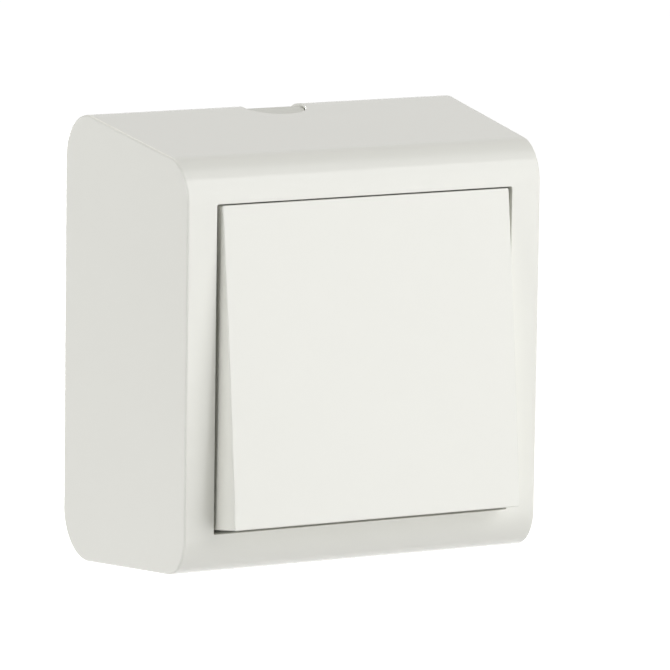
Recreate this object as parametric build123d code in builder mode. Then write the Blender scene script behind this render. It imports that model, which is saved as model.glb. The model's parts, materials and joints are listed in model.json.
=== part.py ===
from build123d import *
import os
from math import atan, cos, radians, sin, tan

# Surface mounted one-gang light switch, in millimetres.
# The origin is the centre of the wall face. +Y runs into the wall, +Z is up,
# so a depth, which is a distance in front of the wall, lies at y = -depth.

# Housing, built outwards from its front opening
opening_width = 56.2
opening_height = 56.6
opening_corner_radius = 0.8
opening_edge_radius = 0.1
side_rim = 5.55
end_rim = 0.35
housing_depth = 45.0
cheek_taper = 1.95
end_taper = 5.0
front_corner_radius = 7.2
back_corner_radius = 8.4
cheek_edge_radius = 0.4
housing_wall = 2.2

# Cable entry notches in the top and bottom edges, and the tongues that close them
entry_radius = 5.7
entry_centre_depth = 9.2
tongue_gap = 0.35
tongue_recess = 0.45
tongue_thickness = 1.3

# Rocker, which fills the opening
rocker_side_gap = 0.35
rocker_side_draft = 0.5
rocker_end_gap = 0.8
rocker_tilt = 6.34
rocker_top_proud = 0.25
rocker_skirt_depth = 9.8
rocker_crown = 0.25
rocker_skin = 1.8
rocker_skirt_wall = 1.6
rocker_corner_radius = 0.8
rocker_edge_radius = 0.2
rib_thickness = 1.2
rib_depth = 1.4
rib_end_gap = 1.85
rib_offset = 15.0

# Rocker carrier: plate, flanges with trunnions, plunger tube and the rocker's hooks on it
carrier_width = 15.8
carrier_length = 30.0
carrier_thickness = 1.8
flange_thickness = 1.4
flange_land = 0.65
trunnion_radius = 1.25
tube_wall = 0.9
tube_seat = 1.0
tube_lift = 0.3
hook_thickness = 1.4
hook_width = 8.0
hook_barb = 0.8
hook_barb_height = 0.9
snap_clearance = 0.1

# Plunger and spring
plunger_radius = 2.4
plunger_clearance = 0.1
plunger_guide_length = 4.0
nose_radius = 1.5
nose_rounding_share = 0.9
nose_gap = 0.1
spring_wire_radius = 0.32
spring_turns = 4

# Mechanism cover with bearing ears
cover_thickness = 1.6
skirt_running_gap = 2.25
ear_thickness = 1.8
ear_gap = 0.5
ear_bearing_wall = 1.3
ear_top_gap = 2.6
ear_foot_width = 9.0
bearing_clearance = 0.05
cover_slot_clearance = 0.5
screwdriver_hole_clearance = 0.3

# Mechanism frame and its posts
frame_thickness = 1.5
frame_side_gap = 1.8
frame_corner_radius = 3.0
frame_hole_edge = 4.0
frame_hole_clearance = 0.3
window_clearance = 0.2
post_radius = 3.0

# Mechanism body, sized by what it holds
body_side_wall = 3.0
body_end_wall = 2.0
body_corner_radius = 1.2
body_flange = 3.0
body_flange_thickness = 1.5
body_floor = 1.6
contact_side_gap = 3.3
contact_end_gap = 1.4
wire_hole_radius = 2.0

# Contacts
contact_pivot_below_cover = 9.5
contact_swing = 8.5
contact_arm = 11.5
contact_width = 7.0
contact_thickness = 0.8
contact_end = 1.7
knife_clearance = 0.05
knife_thickness = 0.8
tip_radius = 1.4
tip_height = 0.8
tip_rounding = 0.35
tip_shank_radius = 0.7
closing_gap = 0.2
strip_thickness = 0.8
strip_width = 5.0
strip_overhang = 3.2

# Terminal clamps
clamp_wall = 1.1
clamp_thread_wall = 1.6
clamp_window_clearance = 0.2
clamp_length = 7.4
clamp_clearance = 0.2
clamp_screw_lift = 2.0
wire_space = 3.2
chamber_wall = 2.4
terminal_screw_radius = 1.5
terminal_head_radius = 2.5
terminal_head_height = 2.0
terminal_head_lift = 5.0

# Fastening screws
small_clearance = 0.05
frame_screw_radius = 1.4
frame_screw_head_radius = 2.8
frame_screw_head_height = 1.9
frame_screw_head_gap = 0.2
frame_screw_length = 9.0
cover_screw_radius = 1.0
cover_screw_head_radius = 2.1
cover_screw_head_height = 1.3
cover_screw_length = 9.0
slot_width = 0.8
slot_share = 0.5

# Base plate
base_thickness = 2.5
base_clearance = 0.2
base_corner_radius = 1.2
lip_flat = 0.4
rim_inset = 1.0
rim_thickness = 1.2
rim_height = 4.0
wall_slot_edge = 4.0
wall_slot_length = 8.0
wall_slot_width = 4.4
cable_hole_radius = 8.0
cable_hole_edge = 3.5

# Snap hooks between the base plate and the housing
latch_height = 15.2
latch_offset = 8.5
latch_width = 8.0
latch_thickness = 1.4
latch_barb = 1.0
latch_barb_height = 1.6
ledge_reach = 1.0
ledge_thickness = 1.6
press_rib_thickness = 1.4
press_rib_offset = 15.0
press_rib_edge = 0.9
press_rib_gap = 0.1


# Outer sizes. The side lines of the housing meet the wall at housing_height_back,
# and its rounded back corners make it a little less high than that.
front_angle = radians(90) + atan(end_taper / housing_depth)
back_angle = radians(90) - atan(end_taper / housing_depth)
housing_height_front = opening_height + 2 * (end_rim + front_corner_radius / tan(front_angle / 2))
housing_height_back = housing_height_front + 2 * end_taper
housing_width_front = opening_width + 2 * side_rim
housing_width_back = housing_width_front + 2 * cheek_taper
rocker_base_width = opening_width - 2 * rocker_side_gap
rocker_face_width = rocker_base_width - 2 * rocker_side_draft
rocker_height = opening_height - 2 * rocker_end_gap

# Rocker: heights above its pivot, and the pivot's depth
tilt = radians(rocker_tilt)
half_face = rocker_height / 2
ear_top_radius = trunnion_radius + bearing_clearance + ear_bearing_wall
ceiling = ear_top_radius + ear_top_gap
face_edge_height = ceiling + rocker_skin
skirt_bottom = face_edge_height - rocker_skirt_depth
skirt_reach = half_face * sin(tilt) - skirt_bottom * cos(tilt)
pivot_depth = (
    housing_depth + rocker_top_proud + half_face * sin(tilt) - face_edge_height * cos(tilt)
)

# Depths of the mechanism. The frame screws' heads stay clear of the rocker's skirt.
cover_back = pivot_depth - skirt_reach - skirt_running_gap - frame_screw_head_height
cover_front = cover_back + cover_thickness
frame_back = cover_back - frame_thickness
flange_back = frame_back - body_flange_thickness
contact_pivot_depth = cover_back - contact_pivot_below_cover
contact_pivot_drop = pivot_depth - contact_pivot_depth
swing = radians(contact_swing)
strip_front = (
    contact_pivot_depth
    - tip_height * cos(swing)
    - contact_arm * sin(swing)
    - tip_height
    - closing_gap
)
strip_back = strip_front - strip_thickness
clamp_back = strip_back - wire_space - clamp_wall
clamp_front = strip_front + clamp_screw_lift + clamp_thread_wall
chamber_floor = clamp_back - clamp_clearance
body_back = chamber_floor - body_floor
wire_depth = strip_back - wire_space / 2
terminal_head_back = clamp_front + terminal_head_lift

# Places across the front, from the middle outwards
bridge_half = contact_arm + tip_radius + contact_end
contact_pocket_width = contact_width + 2 * contact_side_gap
contact_pocket_height = 2 * (bridge_half + contact_end_gap)
chamber_inner = contact_pocket_width / 2 + chamber_wall
chamber_length = clamp_length + 2 * clamp_clearance
chamber_centre = chamber_inner + chamber_length / 2
strip_end = chamber_inner + chamber_length - clamp_clearance
contact_row = contact_arm * cos(swing) - tip_height * sin(swing)
clamp_height = strip_width + 2 * clamp_window_clearance + 2 * clamp_wall
chamber_height = clamp_height + 2 * clamp_clearance
body_width = 2 * (chamber_inner + chamber_length + body_side_wall)
body_height = contact_pocket_height + 2 * body_end_wall
cover_width = body_width + 2 * body_flange
cover_height = body_height + 2 * body_flange
terminal_spots = {
    "common": (-chamber_centre, 0),
    "upper": (chamber_centre, contact_row),
    "lower": (chamber_centre, -contact_row),
}
cover_screw_spots = [
    (-chamber_centre, contact_row),
    (-chamber_centre, -contact_row),
    (chamber_centre, 0),
]


def cheek_half_width(depth):
    """Half the housing's outer width at a depth."""
    return housing_width_back / 2 - cheek_taper * depth / housing_depth


# The frame spans the housing, and its screws stand above and below the cover
frame_width = 2 * (cheek_half_width(cover_back) - housing_wall - frame_side_gap)
frame_screw_side = frame_width / 2 - frame_hole_edge
frame_screw_level = cover_height / 2 + frame_screw_head_gap + frame_screw_head_radius
frame_height = 2 * (frame_screw_level + frame_hole_edge)
frame_screw_spots = [
    (side * frame_screw_side, level * frame_screw_level) for side in (-1, 1) for level in (-1, 1)
]

# Planes. The rocker's planes turn with it, and so do the moving contact's.
rocker_normal = (0, -cos(tilt), sin(tilt))
rocker_up = (0, sin(tilt), cos(tilt))
rocker_down = (0, -sin(tilt), -cos(tilt))
pivot = (0, -pivot_depth, 0)
rocker_plane = Plane(origin=pivot, x_dir=(1, 0, 0), z_dir=rocker_normal)
rocker_side_plane = Plane(origin=pivot, x_dir=rocker_up, z_dir=(1, 0, 0))
rocker_plan_plane = Plane(origin=pivot, x_dir=(1, 0, 0), z_dir=rocker_down)
contact_pivot = (0, -contact_pivot_depth, 0)
contact_normal = (0, -cos(swing), -sin(swing))
contact_plane = Plane(origin=contact_pivot, x_dir=(1, 0, 0), z_dir=contact_normal)


def front_plane(depth):
    """Plane parallel to the wall, this far in front of it, facing the room."""
    return Plane.XZ.offset(depth)


def housing_profile(inset):
    """The housing's side outline, moved inwards by inset, with x along +Y and y along +Z."""
    top_back = (0, housing_height_back / 2)
    top_front = (-housing_depth, housing_height_front / 2)
    bottom_front = (-housing_depth, -housing_height_front / 2)
    bottom_back = (0, -housing_height_back / 2)
    with BuildSketch() as profile:
        with BuildLine():
            Polyline(top_back, top_front, bottom_front, bottom_back, close=True)
        make_face()
        fillet(profile.vertices().group_by(Axis.X)[-1], back_corner_radius)
        fillet(profile.vertices().group_by(Axis.X)[0], front_corner_radius)
        if inset > 0:
            offset(amount=-inset)
    return profile.sketch


def housing_plan(inset):
    """The housing's outline from above, with its cheeks moved inwards by inset."""
    back = housing_width_back / 2 - inset
    front = housing_width_front / 2 - inset
    with BuildSketch() as plan:
        with BuildLine():
            Polyline((-back, 0), (back, 0), (front, -housing_depth), (-front, -housing_depth), close=True)
        make_face()
    return plan.sketch


def housing_form(inset):
    """The housing as a full block: side outline carried across, cut to the plan outline."""
    with BuildPart() as form:
        with BuildSketch(Plane.YZ):
            add(housing_profile(inset))
        extrude(amount=housing_width_back / 2, both=True)
        with BuildSketch(Plane.XY):
            add(housing_plan(inset))
        extrude(amount=housing_height_back, both=True, mode=Mode.INTERSECT)
    return form.part


def entry_outline(radius):
    """The cable entry from above: a straight slot from the wall with a round end."""
    with BuildSketch() as outline:
        with Locations((0, -entry_centre_depth / 2)):
            Rectangle(2 * radius, entry_centre_depth)
        with Locations((0, -entry_centre_depth)):
            Circle(radius)
    return outline.sketch


def rocker_form(side_inset, face_height, crown, bottom):
    """The rocker as a full block: crowned side outline carried across, cut to the drafted plan."""
    end = half_face - side_inset
    face_half = rocker_face_width / 2 - side_inset
    base_half = rocker_base_width / 2 - side_inset
    with BuildPart() as form:
        with BuildSketch(rocker_side_plane):
            with BuildLine():
                Polyline((-end, face_height), (-end, bottom), (end, bottom), (end, face_height))
                if crown > 0:
                    ThreePointArc((-end, face_height), (0, face_height + crown), (end, face_height))
                else:
                    Line((-end, face_height), (end, face_height))
            make_face()
        extrude(amount=rocker_base_width, both=True)
        with BuildSketch(rocker_plan_plane):
            with BuildLine():
                Polyline(
                    (-base_half, bottom),
                    (base_half, bottom),
                    (face_half, face_height + crown),
                    (-face_half, face_height + crown),
                    close=True,
                )
            make_face()
        extrude(amount=rocker_height, both=True, mode=Mode.INTERSECT)
    return form.part


# Base plate: it fills the rear opening, which ends just short of the rounded back corners
flat_half_height = housing_height_back / 2 - back_corner_radius / tan(back_angle / 2)
rear_opening_height = 2 * (flat_half_height - lip_flat)
rear_opening_width = 2 * (cheek_half_width(housing_wall) - housing_wall)
base_height = rear_opening_height - 2 * base_clearance
base_width = rear_opening_width - 2 * base_clearance
wall_slot_side = base_width / 2 - wall_slot_edge - wall_slot_length / 2
cable_hole_drop = base_height / 2 - cable_hole_edge - cable_hole_radius

# Snap hooks: depths and places that the housing and the base plate share
ledge_back = latch_height - ledge_thickness
ledge_inner = cheek_half_width(latch_height) - housing_wall - ledge_reach
latch_outer = ledge_inner - base_clearance
latch_rows = [level * latch_offset for level in (-1, 1)]


# Housing: a shell with a front opening for the rocker, an open back and two cable notches
housing_outer = housing_form(0)
housing_cavity = housing_form(housing_wall)

with BuildPart() as housing:
    add(housing_outer)
    cheeks = housing.faces().filter_by(lambda face: abs(face.normal_at().X) > 0.9)
    fillet(cheeks.edges(), cheek_edge_radius)
    add(housing_cavity, mode=Mode.SUBTRACT)
    with BuildSketch(Plane.XZ):
        Rectangle(rear_opening_width, rear_opening_height)
    extrude(amount=2 * housing_wall, mode=Mode.SUBTRACT)
    with BuildSketch(front_plane(housing_depth)):
        RectangleRounded(opening_width, opening_height, opening_corner_radius)
    extrude(amount=-2 * housing_wall, mode=Mode.SUBTRACT)
    front_face = housing.faces().sort_by(Axis.Y)[0]
    fillet(front_face.inner_wires().edges(), opening_edge_radius)
    for side in (1, -1):
        with BuildSketch(Plane.XY.offset(side * (base_height / 2))):
            add(entry_outline(entry_radius))
        extrude(amount=side * housing_height_back / 2, mode=Mode.SUBTRACT)
    for side in (1, -1):
        with BuildSketch(front_plane(ledge_back)):
            with Locations(*[(side * (ledge_inner + ledge_reach), row) for row in latch_rows]):
                Rectangle(2 * ledge_reach, latch_width)
        extrude(amount=ledge_thickness)
    rib_inner = opening_width / 2 + press_rib_edge
    rib_outer = cheek_half_width(housing_depth) - housing_wall / 2
    for side in (1, -1):
        with BuildSketch(front_plane(cover_back + press_rib_gap)):
            with Locations(
                *[(side * (rib_inner + rib_outer) / 2, level * press_rib_offset) for level in (-1, 1)]
            ):
                Rectangle(rib_outer - rib_inner, press_rib_thickness)
        extrude(amount=housing_depth - housing_wall / 2 - cover_back - press_rib_gap)
housing.part.label = "housing"


# Base plate: wall plate with rim, posts, snap hooks and the two entry tongues
with BuildPart() as base_plate:
    with BuildSketch(Plane.YZ):
        add(housing_profile(tongue_recess))
        add(housing_profile(tongue_recess + tongue_thickness), mode=Mode.SUBTRACT)
    extrude(amount=entry_radius, both=True)
    with BuildSketch(Plane.XY):
        add(entry_outline(entry_radius - tongue_gap))
    extrude(amount=housing_height_back, both=True, mode=Mode.INTERSECT)
    with BuildSketch(Plane.XZ):
        RectangleRounded(base_width, base_height, base_corner_radius)
    extrude(amount=base_thickness)
    with BuildSketch(front_plane(base_thickness)):
        Rectangle(base_width - 2 * rim_inset, base_height - 2 * rim_inset)
        Rectangle(
            base_width - 2 * rim_inset - 2 * rim_thickness,
            base_height - 2 * rim_inset - 2 * rim_thickness,
            mode=Mode.SUBTRACT,
        )
    extrude(amount=rim_height)
    with BuildSketch(front_plane(base_thickness)):
        with Locations(*frame_screw_spots):
            Circle(post_radius)
    extrude(amount=frame_back - base_thickness)
    for side in (1, -1):
        with BuildSketch(front_plane(base_thickness / 2)):
            with Locations(*[(side * (latch_outer - latch_thickness / 2), row) for row in latch_rows]):
                Rectangle(latch_thickness, latch_width)
        extrude(amount=latch_height + latch_barb_height - base_thickness / 2)
        with BuildSketch(front_plane(latch_height + snap_clearance)):
            with Locations(*[(side * (latch_outer + latch_barb / 2), row) for row in latch_rows]):
                Rectangle(latch_barb, latch_width)
        extrude(amount=latch_barb_height - snap_clearance)
    with BuildSketch(Plane.XZ):
        with Locations((-wall_slot_side, 0), (wall_slot_side, 0)):
            SlotOverall(wall_slot_length, wall_slot_width)
        with Locations((0, -cable_hole_drop)):
            Circle(cable_hole_radius)
    extrude(amount=base_thickness, mode=Mode.SUBTRACT)
    with BuildSketch(front_plane(frame_back)):
        with Locations(*frame_screw_spots):
            Circle(frame_screw_radius + small_clearance)
    extrude(amount=-frame_screw_length, mode=Mode.SUBTRACT)
base_plate.part.label = "base_plate"


# Mechanism frame: steel plate round the mechanism body
with BuildPart() as mechanism_frame:
    with BuildSketch(front_plane(frame_back)):
        RectangleRounded(frame_width, frame_height, frame_corner_radius)
        RectangleRounded(
            body_width + 2 * window_clearance,
            body_height + 2 * window_clearance,
            body_corner_radius + window_clearance,
            mode=Mode.SUBTRACT,
        )
        with Locations(*frame_screw_spots):
            Circle(frame_screw_radius + frame_hole_clearance, mode=Mode.SUBTRACT)
    extrude(amount=frame_thickness)
mechanism_frame.part.label = "mechanism_frame"


def slotted_screws(spots, seat, head_radius, head_height, shank_radius, shank_length):
    """Pan-head screws whose heads sit on the seat depth, with a straight slot in each head."""
    with BuildPart() as screws:
        with BuildSketch(front_plane(seat)):
            with Locations(*spots):
                Circle(head_radius)
        extrude(amount=head_height)
        fillet(screws.faces().filter_by(Axis.Y).group_by(Axis.Y)[0].edges(), head_height * slot_share)
        with BuildSketch(front_plane(seat)):
            with Locations(*spots):
                Circle(shank_radius)
        extrude(amount=-shank_length)
        with BuildSketch(front_plane(seat + head_height)):
            with Locations(*spots):
                Rectangle(2 * head_radius, slot_width)
        extrude(amount=-head_height * slot_share, mode=Mode.SUBTRACT)
    return screws.part


frame_screws = slotted_screws(
    frame_screw_spots,
    cover_back,
    frame_screw_head_radius,
    frame_screw_head_height,
    frame_screw_radius,
    frame_screw_length,
)
frame_screws.label = "frame_screws"


# Mechanism body: block with a contact pocket, three clamp chambers and screw pilots
with BuildPart() as mechanism_body:
    with BuildSketch(front_plane(body_back)):
        RectangleRounded(body_width, body_height, body_corner_radius)
    extrude(amount=cover_back - body_back)
    with BuildSketch(front_plane(flange_back)):
        RectangleRounded(cover_width, cover_height, body_corner_radius)
    extrude(amount=body_flange_thickness)
    with BuildSketch(front_plane(cover_back)):
        Rectangle(contact_pocket_width, contact_pocket_height)
    extrude(amount=strip_back - cover_back, mode=Mode.SUBTRACT)
    with BuildSketch(front_plane(cover_back)):
        with Locations(*terminal_spots.values()):
            Rectangle(chamber_length, chamber_height)
    extrude(amount=chamber_floor - cover_back, mode=Mode.SUBTRACT)
    for side, row in ((-1, 0), (1, contact_row), (1, -contact_row)):
        with BuildSketch(front_plane(strip_back)):
            with Locations((side * chamber_inner, row)):
                Rectangle(2 * chamber_wall + 2 * clamp_clearance, strip_width + 2 * small_clearance)
        extrude(amount=strip_thickness + clamp_clearance, mode=Mode.SUBTRACT)
        with BuildSketch(Plane.YZ.offset(side * body_width / 2)):
            with Locations((-wire_depth, row)):
                Circle(wire_hole_radius)
        extrude(amount=side * (chamber_centre - body_width / 2), mode=Mode.SUBTRACT)
    with BuildSketch(front_plane(cover_back)):
        with Locations(*cover_screw_spots):
            Circle(cover_screw_radius + small_clearance)
    extrude(amount=-cover_screw_length, mode=Mode.SUBTRACT)
    with BuildSketch(front_plane(body_back)):
        Rectangle(contact_pocket_width, contact_pocket_height)
    extrude(amount=strip_back - body_back - body_floor, mode=Mode.SUBTRACT)
mechanism_body.part.label = "mechanism_body"


# Mechanism cover: lid with a slot for the plunger tube and two bearing ears
ear_inner = carrier_width / 2 + ear_gap
tube_bore_radius = plunger_radius + plunger_clearance
tube_radius = tube_bore_radius + tube_wall
tube_travel = (pivot_depth - cover_back) * sin(tilt)
with BuildPart() as mechanism_cover:
    with BuildSketch(front_plane(cover_back)):
        RectangleRounded(cover_width, cover_height, body_corner_radius)
        Rectangle(
            2 * (tube_radius + cover_slot_clearance),
            2 * (tube_radius + tube_travel + cover_slot_clearance),
            mode=Mode.SUBTRACT,
        )
        with Locations(*terminal_spots.values()):
            Circle(terminal_head_radius + screwdriver_hole_clearance, mode=Mode.SUBTRACT)
        with Locations(*cover_screw_spots):
            Circle(cover_screw_radius + small_clearance, mode=Mode.SUBTRACT)
    extrude(amount=cover_thickness)
    for side in (1, -1):
        with BuildSketch(Plane.YZ.offset(side * ear_inner)):
            with BuildLine():
                Polyline(
                    (-cover_front, -ear_foot_width / 2),
                    (-pivot_depth, -ear_top_radius),
                    (-pivot_depth, ear_top_radius),
                    (-cover_front, ear_foot_width / 2),
                    close=True,
                )
            make_face()
            with Locations((-pivot_depth, 0)):
                Circle(ear_top_radius)
                Circle(trunnion_radius + bearing_clearance, mode=Mode.SUBTRACT)
        extrude(amount=side * ear_thickness)
mechanism_cover.part.label = "mechanism_cover"

cover_screws = slotted_screws(
    cover_screw_spots,
    cover_front,
    cover_screw_head_radius,
    cover_screw_head_height,
    cover_screw_radius,
    cover_screw_length,
)
cover_screws.label = "cover_screws"


# Rocker: crowned face with drafted skirts, ribs and hooks that snap on the carrier
rocker_block = rocker_form(0, face_edge_height, rocker_crown, skirt_bottom)
rocker_hollow = rocker_form(rocker_skirt_wall, ceiling, 0, skirt_bottom)
rib_length = rocker_height - 2 * rocker_skirt_wall - 2 * rib_end_gap
hook_inner = carrier_length / 2 + snap_clearance
carrier_back = ceiling - carrier_thickness

with BuildPart() as rocker:
    add(rocker_block)
    fillet(
        rocker.edges().filter_by(lambda edge: abs(edge.tangent_at(0.5).dot(Vector(rocker_normal))) > 0.9),
        rocker_corner_radius,
    )
    face = rocker.faces().sort_by(Axis(pivot, rocker_normal))[-1]
    fillet(face.edges(), rocker_edge_radius)
    add(rocker_hollow, mode=Mode.SUBTRACT)
    with BuildSketch(rocker_plane.offset(ceiling + rocker_skin / 2)):
        with Locations((-rib_offset, 0), (rib_offset, 0)):
            Rectangle(rib_thickness, rib_length)
    extrude(amount=-rocker_skin / 2 - rib_depth)
    for level in (1, -1):
        with BuildSketch(rocker_plane.offset(ceiling + rocker_skin / 2)):
            with Locations((0, level * (hook_inner + hook_thickness / 2))):
                Rectangle(hook_width, hook_thickness)
        extrude(amount=-(rocker_skin / 2 + carrier_thickness + snap_clearance + hook_barb_height))
        with BuildSketch(rocker_plane.offset(carrier_back - snap_clearance)):
            with Locations((0, level * (hook_inner - hook_barb / 2))):
                Rectangle(hook_width, hook_barb)
        extrude(amount=-hook_barb_height)
rocker.part.label = "rocker"


# Rocker carrier: plate with two trunnion flanges and the plunger tube
flange_reach = trunnion_radius + flange_land
tube_length = pivot_depth - cover_back - tube_lift
with BuildPart() as rocker_carrier:
    with BuildSketch(rocker_plane.offset(carrier_back)):
        Rectangle(carrier_width, carrier_length)
    extrude(amount=carrier_thickness)
    for side in (1, -1):
        with BuildSketch(rocker_side_plane.offset(side * carrier_width / 2)):
            with Locations((0, (carrier_back + carrier_thickness / 2) / 2)):
                Rectangle(2 * flange_reach, carrier_back + carrier_thickness / 2)
            Circle(flange_reach)
        extrude(amount=-side * flange_thickness)
        with BuildSketch(rocker_side_plane.offset(side * (carrier_width - flange_thickness) / 2)):
            Circle(trunnion_radius)
        extrude(amount=side * (flange_thickness / 2 + ear_gap + ear_thickness))
    with BuildSketch(rocker_plane.offset(-tube_length)):
        Circle(tube_radius)
    extrude(amount=tube_length + carrier_back + carrier_thickness / 2)
    with BuildSketch(rocker_plane.offset(-tube_length)):
        Circle(tube_bore_radius)
    extrude(amount=tube_length - tube_seat, mode=Mode.SUBTRACT)
rocker_carrier.part.label = "rocker_carrier"


# Plunger: guided body with a round nose that tips the moving contact
plunger_head = tube_length - plunger_guide_length
nose_tip = contact_pivot_drop - contact_thickness - nose_gap
with BuildPart() as plunger:
    with BuildSketch(rocker_plane.offset(-plunger_head)):
        Circle(plunger_radius)
    extrude(amount=-plunger_guide_length)
    with BuildSketch(rocker_plane.offset(-tube_length)):
        Circle(nose_radius)
    extrude(amount=-(nose_tip - tube_length))
    nose_end = plunger.faces().sort_by(Axis(pivot, rocker_normal))[0]
    fillet(nose_end.edges(), nose_radius * nose_rounding_share)
plunger.part.label = "plunger"


# Plunger spring: a helix between the tube's seat and the plunger
spring_length = plunger_head - tube_seat - 2 * spring_wire_radius - 2 * small_clearance
spring_radius = plunger_radius - spring_wire_radius - plunger_clearance
spring_start = rocker_plane.offset(-(plunger_head - spring_wire_radius - small_clearance))
with BuildPart() as plunger_spring:
    with BuildLine() as coil:
        Helix(
            pitch=spring_length / spring_turns,
            height=spring_length,
            radius=spring_radius,
            center=spring_start.origin,
            direction=spring_start.z_dir,
        )
    with BuildSketch(Plane(origin=coil.line @ 0, z_dir=coil.line % 0)):
        Circle(spring_wire_radius)
    sweep(is_frenet=True)
plunger_spring.part.label = "plunger_spring"


# Moving contact: bridge that rocks on the knife edge, with a tip near each end
with BuildPart() as moving_contact:
    with BuildSketch(contact_plane):
        RectangleRounded(contact_width, 2 * bridge_half, contact_end)
        with Locations((0, contact_arm), (0, -contact_arm)):
            Circle(tip_shank_radius + small_clearance, mode=Mode.SUBTRACT)
    extrude(amount=contact_thickness)
moving_contact.part.label = "moving_contact"


def contact_rivets(plane, spots, direction, shank_length):
    """Silver rivets on a plane: a round-edged tip along direction and a shank the other way."""
    with BuildPart() as rivets:
        with BuildSketch(plane):
            with Locations(*spots):
                Circle(tip_radius)
        extrude(amount=direction * tip_height)
        ends = rivets.faces().filter_by(lambda face: face.geom_type == GeomType.PLANE)
        outer = ends.sort_by(Axis(plane.origin, plane.z_dir * direction))[-len(spots):]
        fillet(outer.edges(), tip_rounding)
        with BuildSketch(plane):
            with Locations(*spots):
                Circle(tip_shank_radius)
        extrude(amount=-direction * shank_length)
    return rivets.part


moving_contact_tips = contact_rivets(
    contact_plane, [(0, contact_arm), (0, -contact_arm)], -1, contact_thickness
)
moving_contact_tips.label = "moving_contact_tips"


# Common terminal: strip on the pocket floor with the knife edge standing on it
knife_top = contact_pivot_depth - knife_clearance
with BuildPart() as common_terminal:
    with BuildSketch(front_plane(strip_back)):
        with Locations(((strip_overhang - strip_end) / 2, 0)):
            Rectangle(strip_end + strip_overhang, strip_width)
    extrude(amount=strip_thickness)
    with BuildSketch(Plane.YZ.offset(-strip_overhang)):
        with BuildLine():
            Polyline(
                (-strip_back, -knife_thickness / 2),
                (knife_thickness - knife_top, -knife_thickness / 2),
                (-knife_top, 0),
                (knife_thickness - knife_top, knife_thickness / 2),
                (-strip_back, knife_thickness / 2),
                close=True,
            )
        make_face()
    extrude(amount=2 * strip_overhang)
common_terminal.part.label = "common_terminal"


def switched_terminal(row):
    """A strip from the contact pocket into a clamp chamber, with a hole for its rivet."""
    with BuildPart() as strip:
        with BuildSketch(front_plane(strip_back)):
            with Locations(((strip_end - strip_overhang) / 2, row)):
                Rectangle(strip_end + strip_overhang, strip_width)
            with Locations((0, row)):
                Circle(tip_shank_radius + small_clearance, mode=Mode.SUBTRACT)
        extrude(amount=strip_thickness)
    return strip.part


def clamp(spot):
    """A cage clamp: a square ring that the strip passes through, with a threaded front wall."""
    with BuildPart() as cage:
        with BuildSketch(Plane.YZ.offset(spot[0] - clamp_length / 2)):
            with Locations((-(clamp_back + clamp_front) / 2, spot[1])):
                Rectangle(clamp_front - clamp_back, clamp_height)
            window_back = clamp_back + clamp_wall
            window_front = clamp_front - clamp_thread_wall
            with Locations((-(window_back + window_front) / 2, spot[1])):
                Rectangle(window_front - window_back, clamp_height - 2 * clamp_wall, mode=Mode.SUBTRACT)
        extrude(amount=clamp_length)
        with BuildSketch(front_plane(clamp_front)):
            with Locations(spot):
                Circle(terminal_screw_radius + small_clearance)
        extrude(amount=-clamp_thread_wall - small_clearance, mode=Mode.SUBTRACT)
    return cage.part


upper_terminal = switched_terminal(contact_row)
upper_terminal.label = "upper_terminal"
lower_terminal = switched_terminal(-contact_row)
lower_terminal.label = "lower_terminal"
upper_contact_tip = contact_rivets(front_plane(strip_front), [(0, contact_row)], 1, strip_thickness)
upper_contact_tip.label = "upper_contact_tip"
lower_contact_tip = contact_rivets(front_plane(strip_front), [(0, -contact_row)], 1, strip_thickness)
lower_contact_tip.label = "lower_contact_tip"

clamps = []
for place, spot in terminal_spots.items():
    cage = clamp(spot)
    cage.label = place + "_clamp"
    clamps.append(cage)

terminal_screws = slotted_screws(
    list(terminal_spots.values()),
    terminal_head_back,
    terminal_head_radius,
    terminal_head_height,
    terminal_screw_radius,
    terminal_head_back - strip_front - small_clearance,
)
terminal_screws.label = "terminal_screws"


# One file for each piece
os.makedirs("parts", exist_ok=True)
export_step(housing.part, "parts/housing.step")
export_step(base_plate.part, "parts/base_plate.step")
export_step(mechanism_frame.part, "parts/mechanism_frame.step")
export_step(frame_screws, "parts/frame_screws.step")
export_step(mechanism_body.part, "parts/mechanism_body.step")
export_step(mechanism_cover.part, "parts/mechanism_cover.step")
export_step(cover_screws, "parts/cover_screws.step")
export_step(rocker.part, "parts/rocker.step")
export_step(rocker_carrier.part, "parts/rocker_carrier.step")
export_step(plunger.part, "parts/plunger.step")
export_step(plunger_spring.part, "parts/plunger_spring.step")
export_step(moving_contact.part, "parts/moving_contact.step")
export_step(moving_contact_tips, "parts/moving_contact_tips.step")
export_step(common_terminal.part, "parts/common_terminal.step")
export_step(upper_terminal, "parts/upper_terminal.step")
export_step(lower_terminal, "parts/lower_terminal.step")
export_step(upper_contact_tip, "parts/upper_contact_tip.step")
export_step(lower_contact_tip, "parts/lower_contact_tip.step")
for cage in clamps:
    export_step(cage, "parts/" + cage.label + ".step")
export_step(terminal_screws, "parts/terminal_screws.step")
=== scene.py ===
"""Surface mounted light switch, dressed for rendering.

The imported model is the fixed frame. The housing, the rocker, the screws and the plunger spring are
worked out again as smooth surfaces in the place of their nodes, and every other node keeps its mesh
and gets the finish of its material. Lengths are in metres, in the frame's own axes: +Y into the
wall, +Z up.
"""

import json

import bpy
import numpy as np
from bpy.props import FloatProperty, FloatVectorProperty, IntProperty, PointerProperty
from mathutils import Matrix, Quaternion, Vector


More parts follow.
